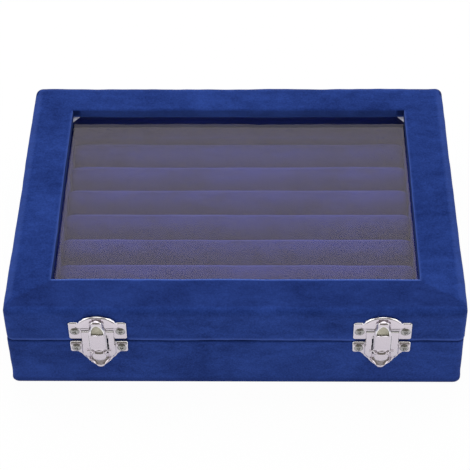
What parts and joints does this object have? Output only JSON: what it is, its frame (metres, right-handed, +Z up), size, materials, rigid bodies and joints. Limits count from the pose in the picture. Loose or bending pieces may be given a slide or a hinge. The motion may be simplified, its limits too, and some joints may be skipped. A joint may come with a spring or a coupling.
{
  "type": "ring display box",
  "caption": "Velvet covered ring display box with a glazed hinged lid, padded ring rolls inside and press latches of plated sheet metal on the front",
  "frame": {"origin": "centre of the underside, in line with the velvet faces", "axes": "X is the width, Y runs from the latches at the front to the hinges at the back, Z is up"},
  "size_m": [0.2, 0.1574, 0.046],
  "materials": {
    "outer_velvet": "short pile velvet",
    "inner_velvet": "short pile velvet",
    "felt": "felt",
    "foam": "soft foam",
    "pale_board": "smooth board",
    "fibreboard": "raw fibreboard",
    "pane": "clear float glass",
    "latch_plating": "bright nickel plating",
    "plain_steel": "plated steel"
  },
  "bodies": {
    "base": {"base_floor_panel": "fibreboard", "base_front_wall": "fibreboard", "base_back_wall": "fibreboard", "base_left_wall": "fibreboard", "base_right_wall": "fibreboard", "base_velvet_wrap": "outer_velvet", "underside_felt": "felt", "insert_board": "pale_board", "border_front_block": "foam", "border_back_block": "foam", "border_left_block": "foam", "border_right_block": "foam", "border_velvet": "inner_velvet", "roll_foam_1": "foam", "roll_foam_2": "foam", "roll_foam_3": "foam", "roll_foam_4": "foam", "roll_foam_5": "foam", "roll_foam_6": "foam", "roll_foam_7": "foam", "roll_velvet_1": "inner_velvet", "roll_velvet_2": "inner_velvet", "roll_velvet_3": "inner_velvet", "roll_velvet_4": "inner_velvet", "roll_velvet_5": "inner_velvet", "roll_velvet_6": "inner_velvet", "roll_velvet_7": "inner_velvet", "catch_plate_left": "latch_plating", "catch_plate_right": "latch_plating", "catch_spring_left": "plain_steel", "catch_spring_right": "plain_steel", "lever_pin_left": "plain_steel", "lever_pin_right": "plain_steel", "catch_screws": "plain_steel", "hinge_base_leaf_left": "plain_steel", "hinge_base_leaf_right": "plain_steel", "hinge_pin_left": "plain_steel", "hinge_pin_right": "plain_steel", "hinge_base_screws": "plain_steel"},
    "lid": {"lid_window_board": "pale_board", "lid_front_wall": "fibreboard", "lid_back_wall": "fibreboard", "lid_left_wall": "fibreboard", "lid_right_wall": "fibreboard", "lid_velvet_wrap": "outer_velvet", "lid_lining": "inner_velvet", "glass_pane": "pane", "glass_retainer": "inner_velvet", "lid_plate_left": "latch_plating", "lid_plate_right": "latch_plating", "lid_plate_screws": "plain_steel", "hinge_lid_leaf_left": "plain_steel", "hinge_lid_leaf_right": "plain_steel", "hinge_lid_screws": "plain_steel"},
    "lever_left": {"latch_lever_left": "latch_plating"},
    "lever_right": {"latch_lever_right": "latch_plating"}
  },
  "joints": [
    {"name": "lid_hinge", "type": "hinge", "parent": "base", "child": "lid", "pos_m": [0, 0.07685, 0.02715], "axis": [-1, 0, 0], "range_deg": [0, 170]},
    {"name": "lever_left_press", "type": "hinge", "parent": "base", "child": "lever_left", "pos_m": [-0.0594, -0.07685, 0.0233], "axis": [1, 0, 0], "range_deg": [0, 14], "stiffness_Nm_per_rad": 0.02},
    {"name": "lever_right_press", "type": "hinge", "parent": "base", "child": "lever_right", "pos_m": [0.0638, -0.07685, 0.0233], "axis": [1, 0, 0], "range_deg": [0, 14], "stiffness_Nm_per_rad": 0.02}
  ]
}
